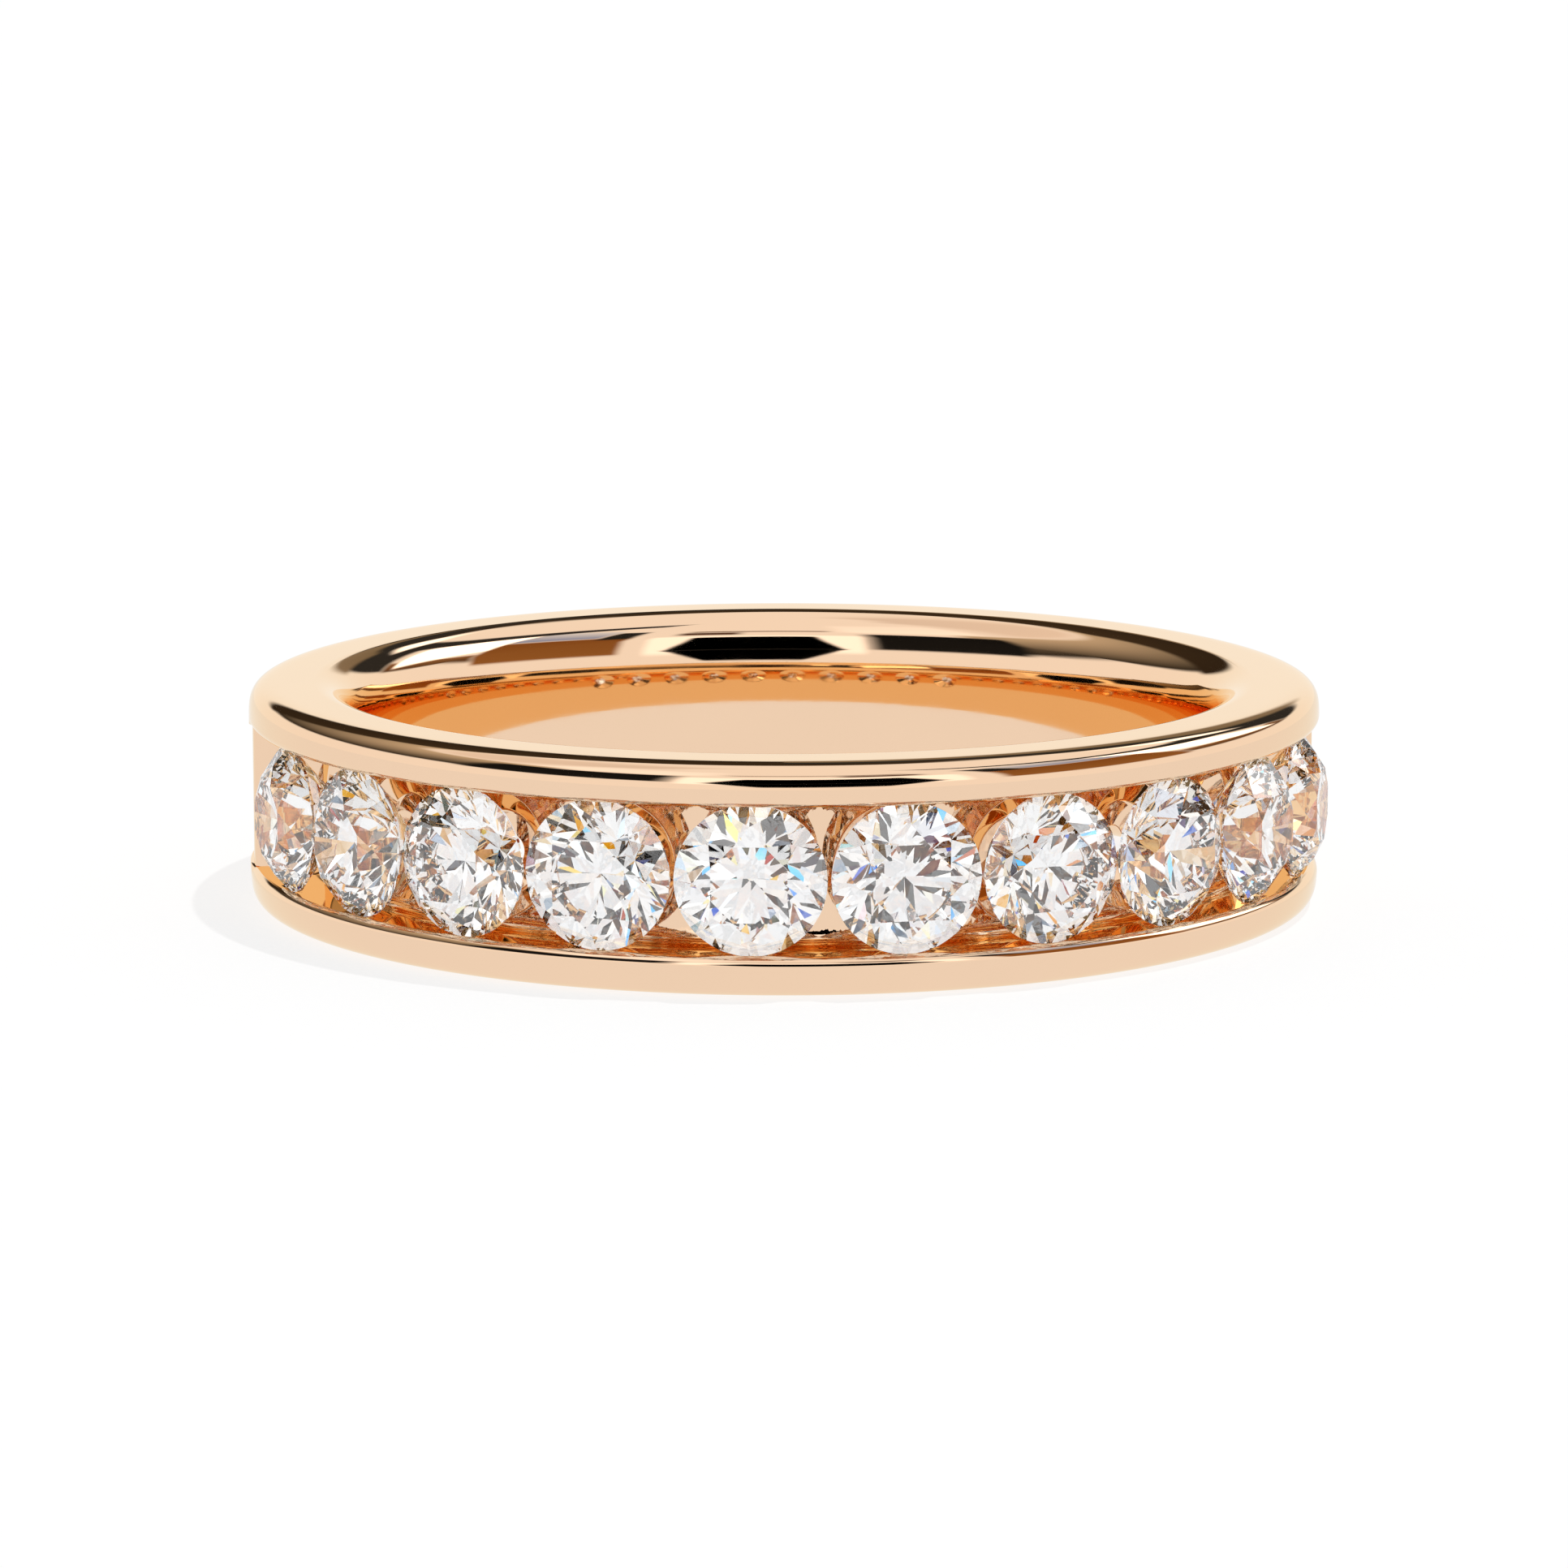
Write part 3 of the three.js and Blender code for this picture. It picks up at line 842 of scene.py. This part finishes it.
# bearing round the studio, 0 at its front and positive to the right, and height above the floor, in degrees;
# one value each for red, green and blue, which part company in light that has come through a stone
bearing = math_node("MULTIPLY", math_node("ARCTAN2", X, math_node("MULTIPLY", Y, -1.0)), 180 / math.pi)
height = math_node("MULTIPLY", math_node("ARCSINE", Z), 180 / math.pi)
spread = vector_node("SCALE", (-FIRE, 0.0, FIRE))
spread.node.inputs["Scale"].default_value = 1.0
nt.links.new(THROUGH, spread.node.inputs["Scale"])
BEARING = vector_node("ADD", spread, bearing)
HEIGHT = vector_node("ADD", spread, height)


def card(under, bearing, height, low, high, tilt=0.0, lean=0.0, soft=(3.0, 2.0)):
    """A soft-edged card between two bearings and two heights, its colour running from low to high.

    tilt slopes it, and lean draws both its sides in as it rises.
    """
    (a0, a1), (e0, e1), (sa, se) = bearing, height, soft
    if tilt:
        k, m = -tilt, (a0 + a1) / 2
        e = vector_node("ADD", vector_node("MULTIPLY_ADD", BEARING, (k, k, k), (-k * m, -k * m, -k * m)), HEIGHT)
    else:
        e = HEIGHT
    sides = []
    if a0 > -180:
        at = vector_node("MULTIPLY_ADD", HEIGHT, (-lean, -lean, -lean), BEARING) if lean else BEARING
        sides.append(ease(at, a0 - sa, a0 + sa))
    if a1 < 180:
        at = vector_node("MULTIPLY_ADD", HEIGHT, (lean, lean, lean), BEARING) if lean else BEARING
        sides.append(ease(at, a1 - sa, a1 + sa, 1.0, 0.0))
    sides += [ease(e, e0 - se, e0 + se), ease(e, e1 - se, e1 + se, 1.0, 0.0)]
    mask = sides[0]
    for other in sides[1:]:
        mask = vector_node("MULTIPLY", mask, other)
    if low == high:
        colour = low
    else:
        colour = vector_node("MULTIPLY_ADD", ease(e, e0, e1, kind="LINEAR"), tuple(h - l for l, h in zip(low, high, strict=True)), low)
    return vector_node("MULTIPLY_ADD", mask, vector_node("SUBTRACT", colour, under), under)


def grey(v):
    return (v, v, v)


STUDIO = [
    # ceiling
    ((-160, -85), (50, 78), (0.88, 0.80, 0.74), (0.80, 0.74, 0.70), dict(soft=(14, 3))),
    ((-72, -20), (47, 68), grey(1.2), grey(1.1), dict(soft=(6, 3))),
    # the room's left side, from a dark foot to a taupe wall
    ((-160, -60), (17, 48), (0.005, 0.003, 0.002), (0.58, 0.49, 0.36), dict(soft=(6, 2))),
    ((-74, -25), (15, 42), grey(0.012), grey(0.008), dict(soft=(4, 1.5))),
    ((-186, -152), (15, 46), (0.03, 0.02, 0.012), (0.05, 0.035, 0.02), dict(soft=(4, 1.5))),
    # the dark camera side
    ((-23, 40), (11, 36), grey(1.4), grey(1.4), dict(soft=(2, 2))),
    ((-24.4, 41.6), (14.2, 31), grey(0.0), grey(0.0), dict(lean=0.5, soft=(1.5, 0.8))),
    ((1.2, 16), (5, 15), grey(0.0), grey(0.0), dict(lean=-1.3, soft=(1.5, 0.8))),
    ((-15, 32), (48.5, 51), (0.12, 0.06, 0.03), (0.12, 0.06, 0.03), dict(soft=(3, 0.8))),
    ((14, 34), (40, 47), (0.1, 0.05, 0.03), (0.1, 0.05, 0.03), dict(soft=(3, 1.5))),
    # the room's right side, warm wood with a window over it
    ((48, 97), (12, 40), (0.30, 0.13, 0.035), (0.24, 0.09, 0.02), dict(soft=(2, 1.5))),
    ((48, 60), (36, 53), grey(0.02), grey(0.02), dict(soft=(2, 1.5))),
    ((61, 97), (41, 57), (0.24, 0.32, 0.6), (0.8, 0.88, 1.0), dict(soft=(2, 1.5))),
    # the back: softbox on the right with a brown foot, a dark arm over it
    ((97, 142), (15, 24), (0.10, 0.05, 0.02), (0.30, 0.15, 0.06), dict(soft=(3, 1.5))),
    ((142, 186), (16, 37), grey(0.03), grey(0.03), dict(soft=(3, 1.5))),
    ((166, 186), (14, 28), (0.26, 0.2, 0.14), (0.2, 0.16, 0.1), dict(soft=(3, 2))),
    ((97, 136), (24, 51), grey(2.4), grey(2.4), dict(tilt=-0.3, soft=(2, 2))),
    ((58, 186), (43, 51), grey(0.03), grey(0.03), dict(tilt=-0.37, soft=(3, 1.2))),
    ((154, 164), (31, 40), grey(2.0), grey(2.0), dict(soft=(2, 2))),
    ((171, 186), (30, 46), (0.04, 0.028, 0.016), (0.05, 0.035, 0.02), dict(soft=(4, 1.5))),
]

seen = (1.0, 0.985, 0.97)
for args in STUDIO:
    seen = card(seen, *args[:4], **args[4])
seen = blend_colour(path.outputs["Is Diffuse Ray"], seen, grey(0.45))
seen = blend_colour(path.outputs["Is Camera Ray"], seen, grey(1.05))
nt.links.new(seen, bg.inputs["Color"])
bg.inputs["Strength"].default_value = 1.0
world.cycles.sampling_method = "NONE"

# ---------------------------------------------------------------- camera
az, el, dist = rad(CAMERA_AZ), rad(9.912), 0.12450
target = np.array([0.0, 0.0, 0.2045 * OUTER_R * MM])
eye = target + dist * np.array([math.sin(az) * math.cos(el), -math.cos(az) * math.cos(el), math.sin(el)])
cam = bpy.data.cameras.new("camera")
cam.lens = 7525 / 1932 * 36
cam.sensor_width = 36
cam.clip_start, cam.clip_end = 0.005, 50
camera = bpy.data.objects.new("camera", cam)
scene.collection.objects.link(camera)
camera.location = eye
fwd = target - eye
camera.rotation_euler = (math.atan2(math.hypot(fwd[0], fwd[1]), -fwd[2]), 0, math.atan2(-fwd[0], fwd[1]))
scene.camera = camera

scene.view_settings.view_transform = "Standard"
scene.view_settings.look = "None"
scene.cycles.max_bounces = 32
scene.cycles.transmission_bounces = 32
scene.cycles.glossy_bounces = 16
scene.cycles.diffuse_bounces = 3
scene.cycles.caustics_reflective = True
scene.cycles.caustics_refractive = True
